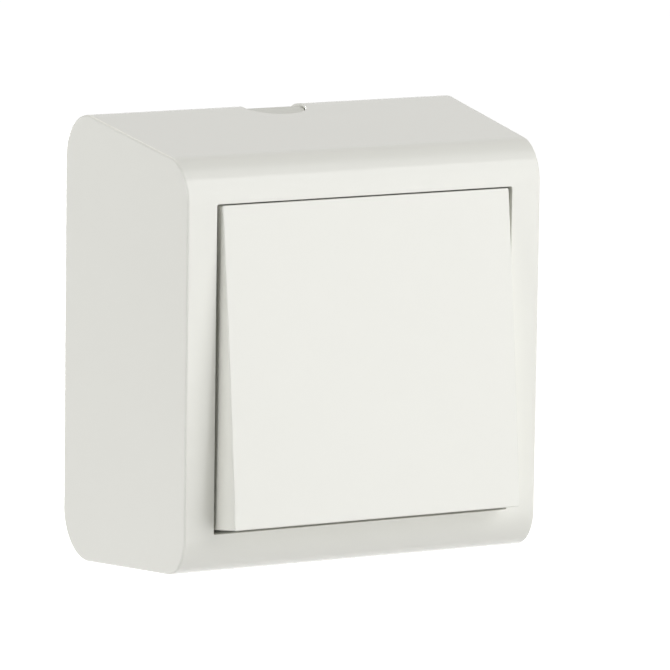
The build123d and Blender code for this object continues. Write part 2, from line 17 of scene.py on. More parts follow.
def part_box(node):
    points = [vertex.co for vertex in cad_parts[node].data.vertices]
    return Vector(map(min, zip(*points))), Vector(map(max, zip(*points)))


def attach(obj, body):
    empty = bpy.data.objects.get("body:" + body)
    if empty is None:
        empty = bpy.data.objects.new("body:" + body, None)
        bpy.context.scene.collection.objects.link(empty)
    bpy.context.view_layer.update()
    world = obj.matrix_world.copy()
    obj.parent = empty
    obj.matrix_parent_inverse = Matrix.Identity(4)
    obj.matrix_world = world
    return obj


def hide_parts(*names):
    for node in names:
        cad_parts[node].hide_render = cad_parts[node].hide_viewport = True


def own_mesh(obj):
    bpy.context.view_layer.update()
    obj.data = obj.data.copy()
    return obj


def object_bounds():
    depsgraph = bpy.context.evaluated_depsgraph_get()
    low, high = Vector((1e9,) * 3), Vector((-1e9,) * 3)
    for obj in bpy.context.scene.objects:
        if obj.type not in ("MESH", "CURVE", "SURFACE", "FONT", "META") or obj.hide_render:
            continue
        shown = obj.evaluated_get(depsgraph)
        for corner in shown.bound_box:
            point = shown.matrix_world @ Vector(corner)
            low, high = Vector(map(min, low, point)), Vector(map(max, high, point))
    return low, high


bl_info = {
    "name": "Surface Mounted Light Switch",
    "version": (1, 0, 0),
    "blender": (4, 5, 0),
    "location": "View3D > Sidebar > Switch",
    "description": "Builds a one-gang surface mounted light switch on its packed frame",
    "category": "Object",
}

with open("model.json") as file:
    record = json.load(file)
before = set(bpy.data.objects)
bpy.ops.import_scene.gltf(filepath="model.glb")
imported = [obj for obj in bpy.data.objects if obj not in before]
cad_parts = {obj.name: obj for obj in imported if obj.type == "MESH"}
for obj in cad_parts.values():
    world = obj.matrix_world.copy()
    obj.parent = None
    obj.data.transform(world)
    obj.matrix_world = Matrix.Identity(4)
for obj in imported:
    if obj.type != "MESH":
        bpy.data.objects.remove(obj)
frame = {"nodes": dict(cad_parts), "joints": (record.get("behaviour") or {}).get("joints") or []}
cad_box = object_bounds()

MM = 0.001
# Edges flatter than this are shaded smooth.
SMOOTH_ANGLE = np.radians(32)
# How far a cut runs on past the face that it opens.
BEYOND = 2 * MM
# How far a rounding's cut ends in front of its face, so that no two faces lie in one plane.
SLIVER = 0.005 * MM
# What lies nearer to the wall than this lies on it.
AT_WALL = 0.01 * MM
# Depth of a screw's thread, and the flats at its crest and root, as shares of the pitch.
THREAD_DEPTH = 0.54
THREAD_FLAT = 0.1
# The floor: how far it lies below the switch, its half width and its glow where it is seen.
FLOOR_DROP = 0.25
FLOOR_HALF_WIDTH = 8.0
FLOOR_GLOW = 0.92
# Strength of the even light on the switch, and how far the lamps stand from it.
WORLD_LIGHT = 0.115
LAMP_DISTANCE = 1.3
# Sockets of the Mix node when it mixes colours.
MIX_FACTOR = 0
MIX_FROM = 6
MIX_TO = 7
MIX_RESULT = 2


def linear(code):
    """Linear RGB of an sRGB hex colour such as "#ECEEE8"."""
    srgb = np.array([int(code[place : place + 2], 16) for place in (1, 3, 5)]) / 255
    return np.where(srgb <= 0.04045, srgb / 12.92, ((srgb + 0.055) / 1.055) ** 2.4).tolist()


def length(label, description, millimetres):
    """A length property whose default is given in millimetres."""
    return FloatProperty(
        name=label,
        description=description,
        default=millimetres * MM,
        precision=5,
        unit="LENGTH",
    )


def colour(label, description, code):
    """A colour property whose default is given as an sRGB hex value."""
    return FloatVectorProperty(
        name=label, description=description, default=linear(code), size=3, subtype="COLOR", min=0, max=1
    )


class HousingSizes(bpy.types.PropertyGroup):
    """Sizes of the moulded housing, built outwards from its front opening."""

    opening_width: length("Opening width", "Width of the front opening", 56.2)
    opening_height: length("Opening height", "Height of the front opening", 56.5)
    opening_lift: length("Opening lift", "How far the opening's middle lies above the housing's", 0.08)
    opening_corner: length("Opening corner", "Radius of the opening's corners", 0.3)
    opening_edge: length("Opening edge", "Rounding of the edge round the opening", 0.1)
    side_rim: length("Side rim", "Front face left and right of the opening", 5.55)
    end_rim: length("End rim", "Flat strip above and below the opening", 0.4)
    cheek_taper: length("Cheek taper", "How far each cheek leans in from the wall to the front", 1.95)
    end_taper: length("End taper", "How far the top and bottom lean in from the wall to the front", 5.0)
    front_corner: length("Front corner", "Radius of the two long front edges", 7.2)
    back_corner: length("Back corner", "Radius of the two long edges at the wall", 8.4)
    cheek_edge: length("Cheek edge", "Rounding of the edges round both cheeks", 0.4)
    wall: length("Wall", "Thickness of the moulded wall", 2.2)
    inner_edge: length("Inner edge", "Rounding of the cavity's edges along the cheeks", 0.4)
    entry_radius: length("Entry radius", "Radius of the cable notches", 5.7)
    entry_centre: length("Entry centre", "Distance of a notch's round end from the wall", 9.2)
    lip_flat: length("Lip flat", "Flat of the rear edge above and below the rear opening", 0.4)
    plate_gap: length("Plate gap", "Play between the base plate and the rear opening", 0.2)


class RockerSizes(bpy.types.PropertyGroup):
    """Sizes of the rocker, which fills the opening."""

    side_gap: length("Side gap", "Gap beside the rocker's skirt", 0.22)
    side_play: length("Side play", "How far the rocker sits to the right of the middle", 0.05)
    side_draft: length("Side draft", "How far each side leans in from skirt to face", 0.63)
    end_gap: length("End gap", "Gap above and below the rocker", 0.8)
    end_draft: length("End draft", "How far each end leans in from skirt to face", 0.5)
    top_proud: length("Top proud", "How far the pressed edge stands out of the housing", 0.25)
    skirt_depth: length("Skirt depth", "Height of the skirt below the face's edge", 9.8)
    crown: length("Crown", "Rise of the face between its upper and lower edge", 0.25)
    skin: length("Skin", "Thickness of the face", 1.8)
    skirt_wall: length("Skirt wall", "Thickness of the skirt", 1.6)
    corner: length("Corner", "Radius of the upright corners", 0.35)
    edge: length("Edge", "Rounding of the face's edge", 0.2)
    rib_thickness: length("Rib thickness", "Thickness of the two ribs under the face", 1.2)
    rib_depth: length("Rib depth", "Depth of the two ribs under the face", 1.4)
    rib_end_gap: length("Rib end gap", "Gap between a rib and the skirt", 1.85)
    rib_offset: length("Rib offset", "Distance of a rib from the middle", 15.0)
    carrier_length: length("Carrier length", "Length of the carrier that the hooks grip", 30.0)
    carrier_thickness: length("Carrier thickness", "Thickness of the carrier's plate", 1.8)
    hook_width: length("Hook width", "Width of each snap hook", 8.0)
    hook_thickness: length("Hook thickness", "Thickness of each snap hook", 1.4)
    hook_barb: length("Hook barb", "Reach of each snap hook's barb", 0.8)
    hook_barb_height: length("Hook barb height", "Height of each snap hook's barb", 0.9)
    snap_clearance: length("Snap clearance", "Play between the hooks and the carrier", 0.1)


def screw_sizes(kind, head_radius, head_height, shank_radius, pitch):
    """A property group with the sizes of one kind of screw."""
    sizes = {
        "head_radius": length("Head radius", "Radius of the pan head", head_radius),
        "head_height": length("Head height", "Height of the pan head", head_height),
        "shank_radius": length("Shank radius", "Outer radius of the thread", shank_radius),
        "pitch": length("Pitch", "Climb of the thread in one turn", pitch),
        "slot_width": length("Slot width", "Width of the slot across the head", 0.8),
    }
    return type(kind, (bpy.types.PropertyGroup,), {"__annotations__": sizes})


FrameScrewSizes = screw_sizes("FrameScrewSizes", 2.8, 1.9, 1.4, 1.0)
CoverScrewSizes = screw_sizes("CoverScrewSizes", 2.1, 1.3, 1.0, 0.8)
TerminalScrewSizes = screw_sizes("TerminalScrewSizes", 2.5, 2.0, 1.5, 0.5)


class SpringSizes(bpy.types.PropertyGroup):
    """Sizes of the plunger spring."""

    wire_radius: length("Wire radius", "Radius of the spring's wire", 0.32)
    coil_radius: length("Coil radius", "Radius of the wire's middle line about the spring's axis", 1.98)
    turns: IntProperty(name="Turns", description="How often the wire goes round", default=4, min=1)


class SwitchFinish(bpy.types.PropertyGroup):
    """Colours of the switch's materials."""

    cover_white: colour("Cover white", "Housing and rocker", "#EDEDE6")
    # Partly painted shade: darker than the plate's own white, standing for the shade on its tongue in the
    # notches.
    inner_white_and_shade: colour("Inner white", "Base plate", "#DCDDD6")
    body_grey: colour("Body grey", "Mechanism body", "#B9BAB4")
    lid_white: colour("Lid white", "Mechanism cover", "#D2D3CC")
    carrier_white: colour("Carrier white", "Rocker carrier", "#DDDDD4")
    plunger_grey: colour("Plunger grey", "Plunger", "#46474A")
    zinc: colour("Zinc", "Support frame, clamps and screws", "#B0B2B1")
    brass: colour("Brass", "Contact strips and moving contact", "#D8B673")
    silver: colour("Silver", "Contact tips", "#E4E3DE")
    spring: colour("Spring steel", "Plunger spring", "#A9AAAB")


class StudioView(bpy.types.PropertyGroup):
    """Where the camera stands."""

    azimuth: FloatProperty(
        name="Azimuth",
        description="Angle of the view round the switch, from straight ahead",
        default=np.radians(-26.9781),
        subtype="ANGLE",
    )
    elevation: FloatProperty(
        name="Elevation",
        description="Angle of the view above the horizon",
        default=np.radians(9.8136),
        subtype="ANGLE",
    )
    roll: FloatProperty(
        name="Roll",
        description="Turn of the camera about its own line of sight",
        default=np.radians(0.801),
        subtype="ANGLE",
    )
    distance: length("Distance", "From the point looked at to the camera", 1103.754)
    lens: FloatProperty(
        name="Lens",
        description="Focal length",
        default=348.974,
        subtype="DISTANCE_CAMERA",
    )
    aim_side: length("Aim side", "How far the point looked at lies to the right of the middle", -5.628)
    aim_height: length("Aim height", "How far the point looked at lies above the middle", 4.677)


def rounded_outline(corners, radii, arc_steps=24, run_steps=(1, 1, 1, 1)):
    """Points and outward normals of a closed outline with rounded corners, going anticlockwise.

    At a corner whose sides have the outward normals n0 and n1, the centre of the rounding is the
    corner less radius * (n0 + n1) / (1 + n0.n1), which lies one radius inside both sides. The points
    are the centre plus radius times a normal that turns evenly from n0 to n1. A sharp corner keeps
    one point, whose normal has the length that moves both of its sides by the same distance. The
    straight run after each corner is divided into run_steps.
    """
    corners = np.asarray(corners, float)
    ahead = np.roll(corners, -1, axis=0) - corners
    ahead /= np.linalg.norm(ahead, axis=1, keepdims=True)
    sides = np.stack([ahead[:, 1], -ahead[:, 0]], axis=1)
    arcs = []
    for corner, radius, before, after in zip(corners, radii, np.roll(sides, 1, axis=0), sides):
        mitre = (before + after) / (1 + before @ after)
        if radius == 0:
            arcs.append((corner[None], mitre[None]))
            continue
        turn = np.arctan2(before[0] * after[1] - before[1] * after[0], before @ after)
        angles = np.arctan2(before[1], before[0]) + turn * np.linspace(0, 1, arc_steps + 1)
        normals = np.stack([np.cos(angles), np.sin(angles)], axis=1)
        arcs.append((corner - radius * mitre + radius * normals, normals))
    points = []
    normals = []
    for index, (steps, side) in enumerate(zip(run_steps, sides)):
        arc, arc_normals = arcs[index]
        next_start = arcs[(index + 1) % len(arcs)][0][0]
        shares = np.linspace(0, 1, steps + 1)[1:-1, None]
        points += [arc, arc[-1] + shares * (next_start - arc[-1])]
        normals += [arc_normals, np.repeat(side[None], steps - 1, axis=0)]
    return np.concatenate(points), np.concatenate(normals)


def rectangle(width, height, radius=0, arc_steps=12):
    """Rounded outline of a rectangle about the origin."""
    x = width / 2
    y = height / 2
    return rounded_outline([(x, -y), (x, y), (-x, y), (-x, -y)], [radius] * 4, arc_steps)


def grid_faces(rows, columns):
    """Quads between the rings of a grid whose rows are closed loops."""
    row = np.arange(rows - 1)[:, None] * columns
    column = np.arange(columns)[None]
    beside = (column + 1) % columns
    corners = [row + column, row + beside, row + columns + beside, row + columns + column]
    return np.stack(corners, axis=2).reshape(-1, 4)


def ring_solid(rings):
    """Vertices and faces of the closed solid through a stack of rings, with flat ends."""
    rows, columns = rings.shape[:2]
    ends = [list(range(columns))[::-1], list(range((rows - 1) * columns, rows * columns))]
    return rings.reshape(-1, 3), grid_faces(rows, columns).tolist() + ends


def outwards(vertices, faces):
    """The same faces, all turned round if the solid that they close is inside out.

    Its volume is a sixth of the sum of a . (b x c) over the triangles of every face."""
    volume = 0
    for corners in {len(face) for face in faces}:
        same = np.array([face for face in faces if len(face) == corners])
        loops = vertices[same]
        triangles = np.cross(loops[:, 1:-1], loops[:, 2:])
        volume += (loops[:, :1] * triangles).sum()
    return faces if volume > 0 else [face[::-1] for face in faces]


def solid(name, *shells):
    """Object with one closed mesh made of shells, which are pairs of vertices and faces."""
    vertices = []
    faces = []
    for shell_vertices, shell_faces in shells:
        start = sum(len(part) for part in vertices)
        turned = outwards(shell_vertices, shell_faces)
        faces += [[start + index for index in face] for face in turned]
        vertices.append(shell_vertices)
    mesh = bpy.data.meshes.new(name)
    mesh.from_pydata(np.concatenate(vertices).tolist(), [], faces)
    mesh.validate()
    piece = bpy.data.objects.new(name, mesh)
    bpy.context.scene.collection.objects.link(piece)
    return piece


def extruded(outline, profile, origin, across, up):
    """Closed solid: an outline carried along the line through origin square to across and up.

    The profile is pairs of an offset and a height. Ring j is the outline moved outwards along its
    normals by its offset, at its height above the plane through origin."""
    points, normals = outline
    offsets, heights = np.asarray(profile, float).T
    flat = points[None] + offsets[:, None, None] * normals[None]
    across = np.asarray(across, float)
    up = np.asarray(up, float)
    rings = (
        np.asarray(origin, float)
        + flat[..., :1] * across
        + flat[..., 1:] * up
        + heights[:, None, None] * np.cross(across, up)
    )
    return ring_solid(rings)


def drafted_block(outline, half_width, draft, edge, edge_steps=8):
    """Closed block: a side outline in Y and Z carried across between two leaning cheeks.

    A cheek is the plane x = half_width + draft * y. A ball of radius edge rolls between the cheek
    and the outline's surface: its centre lies one edge inside both, and the rounding is the arc
    about that centre from the outline's normal to the cheek's."""
    points, normals = outline
    cheek = np.array([1, -draft, 0]) / np.hypot(1, draft)
    rim = np.column_stack([np.zeros(len(points)), normals])
    middle = points - edge * normals
    centre = np.column_stack([half_width + draft * middle[:, 0] - edge * np.hypot(1, draft), middle])
    angle = np.arccos(rim @ cheek)[None, :, None]
    share = np.linspace(0, 1, edge_steps + 1)[:, None, None]
    arc = (np.sin((1 - share) * angle) * rim + np.sin(share * angle) * cheek) / np.sin(angle)
    right = centre + edge * arc
    left = right * (-1, 1, 1)
    return ring_solid(np.concatenate([left[::-1], right]))


def combine(piece, operation, *tools):
    """Cuts the tools out of the piece, or joins them to it, and removes them."""
    for tool in tools:
        change = piece.modifiers.new(operation, "BOOLEAN")
        change.operation = operation
        change.solver = "EXACT"
        change.object = tool
    depsgraph = bpy.context.evaluated_depsgraph_get()
    mesh = bpy.data.meshes.new_from_object(piece.evaluated_get(depsgraph))
    piece.modifiers.clear()
    piece.data = mesh
    for tool in tools:
        bpy.data.objects.remove(tool)


def smooth(piece):
    """Shades a piece smooth except across its sharp edges, with large faces kept flat."""
    piece.data.shade_smooth()
    piece.data.set_sharp_from_angle(angle=SMOOTH_ANGLE)
    weighted = piece.modifiers.new("weighted normals", "WEIGHTED_NORMAL")
    weighted.keep_sharp = True


def housing_outline(sizes, inset, arc_steps):
    """The housing's side outline in Y and Z, moved inwards by inset."""
    depth = -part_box("housing")[0].y
    front_angle = np.pi / 2 + np.arctan(sizes.end_taper / depth)
    front = sizes.opening_height / 2 + sizes.end_rim + sizes.front_corner / np.tan(front_angle / 2)
    back = front + sizes.end_taper
    points, normals = rounded_outline(
        [(0, -back), (0, back), (-depth, front), (-depth, -front)],
        [sizes.back_corner, sizes.back_corner, sizes.front_corner, sizes.front_corner],
        arc_steps,
    )
    return points - inset * normals, normals


class SwitchHousing(bpy.types.Operator):
    """Builds the moulded housing: a shell with a front opening, an open back and two cable notches"""

    bl_idname = "switch.housing"
    bl_label = "Housing"

    def execute(self, context):
        sizes = context.scene.switch_housing
        depth = -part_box("housing")[0].y
        draft = sizes.cheek_taper / depth
        half_width = sizes.opening_width / 2 + sizes.side_rim + sizes.cheek_taper
        shell = solid(
            "housing_shell",
            drafted_block(
                housing_outline(sizes, 0, arc_steps=40), half_width, draft, sizes.cheek_edge
            ),
        )
        cavity = solid(
            "cavity",
            drafted_block(
                housing_outline(sizes, sizes.wall, arc_steps=24),
                half_width - sizes.wall,
                draft,
                sizes.inner_edge,
            ),
        )
        tools = [cavity, self.rear_opening(sizes, half_width, draft), self.front_opening(sizes, depth)]
        tools += self.entries(sizes)
        combine(shell, "DIFFERENCE", *tools)
        smooth(shell)
        finish = context.scene.switch_finish
        shell.data.materials.append(gloss_plastic("moulded ABS white", finish.cover_white))
        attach(shell, "base")
        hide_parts("housing")
        return {"FINISHED"}

    def rear_half_height(self, sizes):
        """Half the height of the rear opening, a lip short of the rounded back corners."""
        points = housing_outline(sizes, 0, arc_steps=24)[0]
        return points[points[:, 0] > -AT_WALL, 1].max() - sizes.lip_flat

    def rear_opening(self, sizes, half_width, draft):
        """Block that opens the back."""
        width = 2 * (half_width - draft * sizes.wall - sizes.wall)
        outline = rectangle(width, 2 * self.rear_half_height(sizes))
        profile = [(0, -BEYOND), (0, 2 * sizes.wall)]
        return solid("rear_opening", extruded(outline, profile, (0, 0, 0), (1, 0, 0), (0, 0, 1)))

    def front_opening(self, sizes, depth):
        """Block that opens the front. Towards the front face it widens along a quarter circle, which
        rounds the opening's edge, and then runs on straight."""
        edge_steps = 6
        angles = np.linspace(0, np.pi / 2, edge_steps + 1)
        widening = sizes.opening_edge * (1 - np.cos(angles))
        rising = sizes.opening_edge * np.sin(angles) - sizes.opening_edge + SLIVER
        profile = [(0, -2 * sizes.wall), *zip(widening, rising), (sizes.opening_edge, BEYOND)]
        outline = rectangle(
            sizes.opening_width, sizes.opening_height, sizes.opening_corner, arc_steps=8
        )
        middle = (0, -depth, sizes.opening_lift)
        return solid("front_opening", extruded(outline, profile, middle, (1, 0, 0), (0, 0, 1)))

    def entries(self, sizes):
        """Blocks for the notches in the top and bottom edges: a slot from the wall with a round end.

        They start at the base plate's edge, so that the plate's rear opening keeps its lip."""
        radius = sizes.entry_radius
        end = sizes.entry_centre + radius
        corners = [(-radius, -end), (radius, -end), (radius, BEYOND), (-radius, BEYOND)]
        outline = rounded_outline(corners, [radius, radius, 0, 0])
        plate_half = self.rear_half_height(sizes) - sizes.plate_gap
        reach = cad_box[1].z + BEYOND
        blocks = []
        for side, name in ((1, "upper_entry"), (-1, "lower_entry")):
            profile = [(0, side * plate_half), (0, side * reach)]
            blocks.append(solid(name, extruded(outline, profile, (0, 0, 0), (1, 0, 0), (0, 1, 0))))
        return blocks


def joint_of(name):
    """The joint of that name in the frame."""
    return next(joint for joint in frame["joints"] if joint["name"] == name)


class SwitchRocker(bpy.types.Operator):
    """Builds the rocker: a crowned face with drafted skirts, ribs and two snap hooks"""

    bl_idname = "switch.rocker"
    bl_label = "Rocker"

    def execute(self, context):
        sizes = context.scene.switch_rocker
        housing = context.scene.switch_housing
        hinge = joint_of("rocker_hinge")
        tilt = np.radians(sum(hinge["range_deg"]) / 2)
        pivot = np.array(hinge["pos_m"])
        along = np.array([0, np.sin(tilt), np.cos(tilt)])
        outward = np.array([0, -np.cos(tilt), np.sin(tilt)])
        depth = -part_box("housing")[0].y
        half_height = housing.opening_height / 2 - sizes.end_gap
        half_width = housing.opening_width / 2 - sizes.side_gap
        edge_height = (depth + sizes.top_proud + half_height * np.sin(tilt) + pivot[1]) / np.cos(tilt)
        bottom = edge_height - sizes.skirt_depth
        ceiling = edge_height - sizes.skin

        def placed(local):
            return pivot + local[..., :1] * (1, 0, 0) + local[..., 1:2] * along + local[..., 2:] * outward

        cup_vertices, cup_faces = self.cup(sizes, half_width, half_height, edge_height, bottom, ceiling)
        cup_vertices[:, :2] += (sizes.side_play, housing.opening_lift)
        cup = solid("rocker_key", (placed(cup_vertices), cup_faces))
        root = ceiling + sizes.skin / 2
        blocks = []
        rib_length = 2 * (half_height - sizes.skirt_wall - sizes.rib_end_gap)
        for side in (-1, 1):
            place = (side * sizes.rib_offset, 0)
            blocks.append((place, sizes.rib_thickness, rib_length, ceiling - sizes.rib_depth, root))
        hook_inner = sizes.carrier_length / 2 + sizes.snap_clearance
        barb_front = ceiling - sizes.carrier_thickness - sizes.snap_clearance
        barb_back = barb_front - sizes.hook_barb_height
        for side in (-1, 1):
            arm = (0, side * (hook_inner + sizes.hook_thickness / 2))
            blocks.append((arm, sizes.hook_width, sizes.hook_thickness, barb_back, root))
            barb_length = sizes.hook_barb + sizes.hook_thickness / 2
            barb = (0, side * (hook_inner - sizes.hook_barb + barb_length / 2))
            blocks.append((barb, sizes.hook_width, barb_length, barb_back, barb_front))
        tools = []
        for number, (place, width, height, low, high) in enumerate(blocks):
            origin = pivot + place[0] * np.array([1, 0, 0]) + place[1] * along
            outline = rectangle(width, height)
            shell = extruded(outline, [(0, low), (0, high)], origin, (1, 0, 0), along)
            tools.append(solid("block" + str(number), shell))
        combine(cup, "UNION", *tools)
        smooth(cup)
        finish = context.scene.switch_finish
        cup.data.materials.append(gloss_plastic("moulded PC white", finish.cover_white))
        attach(cup, "rocker")
        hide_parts("rocker")
        return {"FINISHED"}

    def cup(self, sizes, half_width, half_height, edge_height, bottom, ceiling):
        """The hollow key in its own axes: X, up along the face, and height above the pivot.

        The wall's ring at a height h is the rounded rectangle with every x moved inwards by
        slope * (h - bottom) and every w, the place up along the face, stretched so that its ends
        move outwards by end_slope * (edge_height - h). The face rises along w as a circle through
        both edges and the crown: edge_height - (R - crown) + sqrt(R^2 - w^2). The edge between them
        is an arc about a centre one edge radius inside both, from the wall's normal to straight up.
        The face is closed by rungs between points at the same w. The hollow is made the same way,
        with a flat ceiling."""
        arc_steps = 8
        edge_steps = 6
        run_steps = (48, 1, 48, 1)
        corners = [
            (half_width, -half_height),
            (half_width, half_height),
            (-half_width, half_height),
            (-half_width, -half_height),
        ]
        points, normals = rounded_outline(corners, [sizes.corner] * 4, arc_steps, run_steps)
        circle = (half_height**2 + sizes.crown**2) / (2 * sizes.crown)

        def face_height(w):
            return edge_height - (circle - sizes.crown) + np.sqrt(circle**2 - w**2)

        slope = sizes.side_draft / (edge_height + sizes.crown - bottom)
        end_slope = sizes.end_draft / sizes.skirt_depth

        def drafted(outline, side_slope, height):
            heights = np.broadcast_to(height, len(outline))
            inward = np.sign(outline[:, 0]) * side_slope * (heights - bottom)
            stretch = 1 + end_slope * (edge_height - heights) / half_height
            return np.column_stack([outline[:, 0] - inward, outline[:, 1] * stretch, heights])

        lean = slope * np.abs(normals[:, 0]) + end_slope * np.abs(normals[:, 1])
        inside = points - sizes.edge * np.sqrt(1 + lean**2)[:, None] * normals
        centre = drafted(inside, slope, face_height(inside[:, 1]) - sizes.edge)
        level = np.column_stack([normals, np.zeros(len(normals))])
        share = np.linspace(0, 1, edge_steps + 1)[:, None]
        angle = (np.arctan(lean) + share * (np.pi / 2 - np.arctan(lean)))[..., None]
        rounding = centre + sizes.edge * (np.cos(angle) * level + np.sin(angle) * np.array([0, 0, 1]))
        outer = np.concatenate([drafted(points, slope, bottom)[None], rounding])

        wall = sizes.skirt_wall
        inner_corners = np.array(corners) - wall * np.sign(corners)
        inner_points = rounded_outline(inner_corners, [sizes.edge] * 4, arc_steps, run_steps)[0]
        inner_slope = sizes.side_draft / (ceiling - bottom)
        inner = np.stack([drafted(inner_points, inner_slope, height) for height in (ceiling, bottom)])

        rings = np.concatenate([inner, outer])
        rows, columns = rings.shape[:2]
        side = np.arange(columns // 2 - 1)
        rungs = np.stack([side, side + 1, columns - 2 - side, columns - 1 - side], axis=1)
        top = rungs + (rows - 1) * columns
        faces = grid_faces(rows, columns).tolist() + rungs[:, ::-1].tolist() + top.tolist()
        return rings.reshape(-1, 3), faces


def add_node(tree, kind, inputs=(), **settings):
    """Adds a node. Its inputs are pairs of a socket and a value or an output to link to it."""
    node = tree.nodes.new(kind)
    for name, value in settings.items():
        setattr(node, name, value)
    for socket, value in inputs:
        if isinstance(value, bpy.types.NodeSocket):
            tree.links.new(value, node.inputs[socket])
        else:
            node.inputs[socket].default_value = value
    return node


def new_material(name):
    """An empty node material and its output node."""
    material = bpy.data.materials.new(name)
    material.use_nodes = True
    material.node_tree.nodes.clear()
    return material, add_node(material.node_tree, "ShaderNodeOutputMaterial")


def opaque(base, share=1):
    """A share of a base colour, with nothing showing through."""
    return (*[share * part for part in base], 1)


def gloss_plastic(name, base):
    """Thermoplastic moulded in a polished mould.

    The surface mirrors a little, softly, with the faint long waves that moulded walls have after
    they shrink (about 9 mm apart) and the finest trace of the mould's polish (0.3 mm, drawn coarser
    than the real one, which is too fine to show). The tint drifts a little over about 22 mm."""
    material, output = new_material(name)
    tree = material.node_tree
    place = add_node(tree, "ShaderNodeTexCoord").outputs["Object"]
    waves, polish, tint = (
        add_node(
            tree, "ShaderNodeTexNoise", [("Vector", place), ("Scale", 1 / size), ("Detail", detail)]
        ).outputs["Fac"]
        for size, detail in ((9 * MM, 1.0), (0.3 * MM, 2.0), (22 * MM, 2.0))
    )
    shade = add_node(
        tree,
        "ShaderNodeMix",
        [(MIX_FACTOR, tint), (MIX_FROM, opaque(base)), (MIX_TO, opaque(base, 0.985))],
        data_type="RGBA",
    ).outputs[MIX_RESULT]
    roughness = add_node(
        tree, "ShaderNodeMapRange", [("Value", polish), ("To Min", 0.13), ("To Max", 0.19)]
    ).outputs["Result"]
    long_bump = add_node(
        tree, "ShaderNodeBump", [("Strength", 0.12), ("Distance", 0.05 * MM), ("Height", waves)]
    ).outputs["Normal"]
    bump = add_node(
        tree,
        "ShaderNodeBump",
        [("Strength", 0.06), ("Distance", 0.01 * MM), ("Height", polish), ("Normal", long_bump)],
    ).outputs["Normal"]
    shader = add_node(
        tree,
        "ShaderNodeBsdfPrincipled",
        [("Base Color", shade), ("Roughness", roughness), ("IOR", 1.5), ("Normal", bump)],
    )
    tree.links.new(shader.outputs["BSDF"], output.inputs["Surface"])
    return material


def matt_plastic(name, base, rough):
    """Plastic moulded in a spark-eroded mould: an even, fine matt grain that breaks up reflections.

    The grain is drawn 0.25 mm wide, coarser than the real one, which is too fine to show."""
    grain = 0.25 * MM
    material, output = new_material(name)
    tree = material.node_tree
    place = add_node(tree, "ShaderNodeTexCoord").outputs["Object"]
    pits = add_node(
        tree,
        "ShaderNodeTexNoise",
        [("Vector", place), ("Scale", 1 / grain), ("Detail", 3.0), ("Roughness", 0.6)],
    ).outputs["Fac"]
    tint = add_node(tree, "ShaderNodeTexNoise", [("Vector", place), ("Scale", 1 / (15 * MM))]).outputs["Fac"]
    roughness = add_node(
        tree, "ShaderNodeMapRange", [("Value", pits), ("To Min", rough - 0.06), ("To Max", rough + 0.06)]
    ).outputs["Result"]
    shade = add_node(
        tree,
        "ShaderNodeMix",
        [(MIX_FACTOR, tint), (MIX_FROM, opaque(base)), (MIX_TO, opaque(base, 0.96))],
        data_type="RGBA",
    ).outputs[MIX_RESULT]
    bump = add_node(
        tree, "ShaderNodeBump", [("Strength", 0.25), ("Distance", 0.02 * MM), ("Height", pits)]
    ).outputs["Normal"]
    shader = add_node(
        tree,
        "ShaderNodeBsdfPrincipled",
        [("Base Color", shade), ("Roughness", roughness), ("IOR", 1.5), ("Normal", bump)],
    )
    tree.links.new(shader.outputs["BSDF"], output.inputs["Surface"])
    return material


def metal(name, base, rough, streak, spread=0.08, across=(1, 1, 1)):
    """Bare or plated metal with fine streaks whose cells are streak wide, longer along small across
    values, which vary its gloss and its brightness a little.

    Real streaks are too fine to show, so they are drawn coarser."""
    material, output = new_material(name)
    tree = material.node_tree
    place = add_node(tree, "ShaderNodeTexCoord").outputs["Object"]
    stretched = add_node(
        tree, "ShaderNodeMapping", [("Vector", place), ("Scale", across)], vector_type="POINT"
    ).outputs["Vector"]
    lines = add_node(
        tree,
        "ShaderNodeTexNoise",
        [("Vector", stretched), ("Scale", 1 / streak), ("Detail", 4.0), ("Roughness", 0.6)],
    ).outputs["Fac"]
    clouds = add_node(
        tree, "ShaderNodeTexNoise", [("Vector", place), ("Scale", 1 / (30 * streak))]
    ).outputs["Fac"]
    roughness = add_node(
        tree,
        "ShaderNodeMapRange",
        [("Value", lines), ("To Min", rough - spread), ("To Max", rough + spread)],
    ).outputs["Result"]
    shade = add_node(
        tree,
        "ShaderNodeMix",
        [(MIX_FACTOR, clouds), (MIX_FROM, opaque(base)), (MIX_TO, opaque(base, 0.86))],
        data_type="RGBA",
    ).outputs[MIX_RESULT]
    bump = add_node(
        tree, "ShaderNodeBump", [("Strength", 0.15), ("Distance", 0.01 * MM), ("Height", lines)]
    ).outputs["Normal"]
    shader = add_node(
        tree,
        "ShaderNodeBsdfPrincipled",
        [("Base Color", shade), ("Metallic", 1.0), ("Roughness", roughness), ("Normal", bump)],
    )
    tree.links.new(shader.outputs["BSDF"], output.inputs["Surface"])
    return material


def dress(material, *nodes):
    """Gives nodes of the frame one material."""
    for name in nodes:
        mesh = frame["nodes"][name].data
        mesh.materials.clear()
        mesh.materials.append(material)


class SwitchInside(bpy.types.Operator):
    """Gives the base plate and the moulded pieces of the mechanism their finishes"""

    bl_idname = "switch.inside"
    bl_label = "Base plate and mechanism"

    def execute(self, context):
        finish = context.scene.switch_finish
        # Polycarbonate from a spark-eroded mould: duller than the housing. It is also greyer, partly as
        # painted shade for the plate's tongue, which lies recessed in the notches.
        dress(matt_plastic("moulded PC inner white", finish.inner_white_and_shade, 0.42), "base_plate")
        # Filled thermoset, pressed hot: dull, with hardly any highlight.
        dress(matt_plastic("thermoset grey", finish.body_grey, 0.5), "mechanism_body")
        dress(matt_plastic("thermoset light", finish.lid_white, 0.45), "mechanism_cover")
        # Polyamide, moulded for sliding: a soft, waxy highlight.
        dress(matt_plastic("moulded PA carrier", finish.carrier_white, 0.4), "rocker_carrier")
        dress(matt_plastic("moulded PA plunger", finish.plunger_grey, 0.35), "plunger")
        return {"FINISHED"}


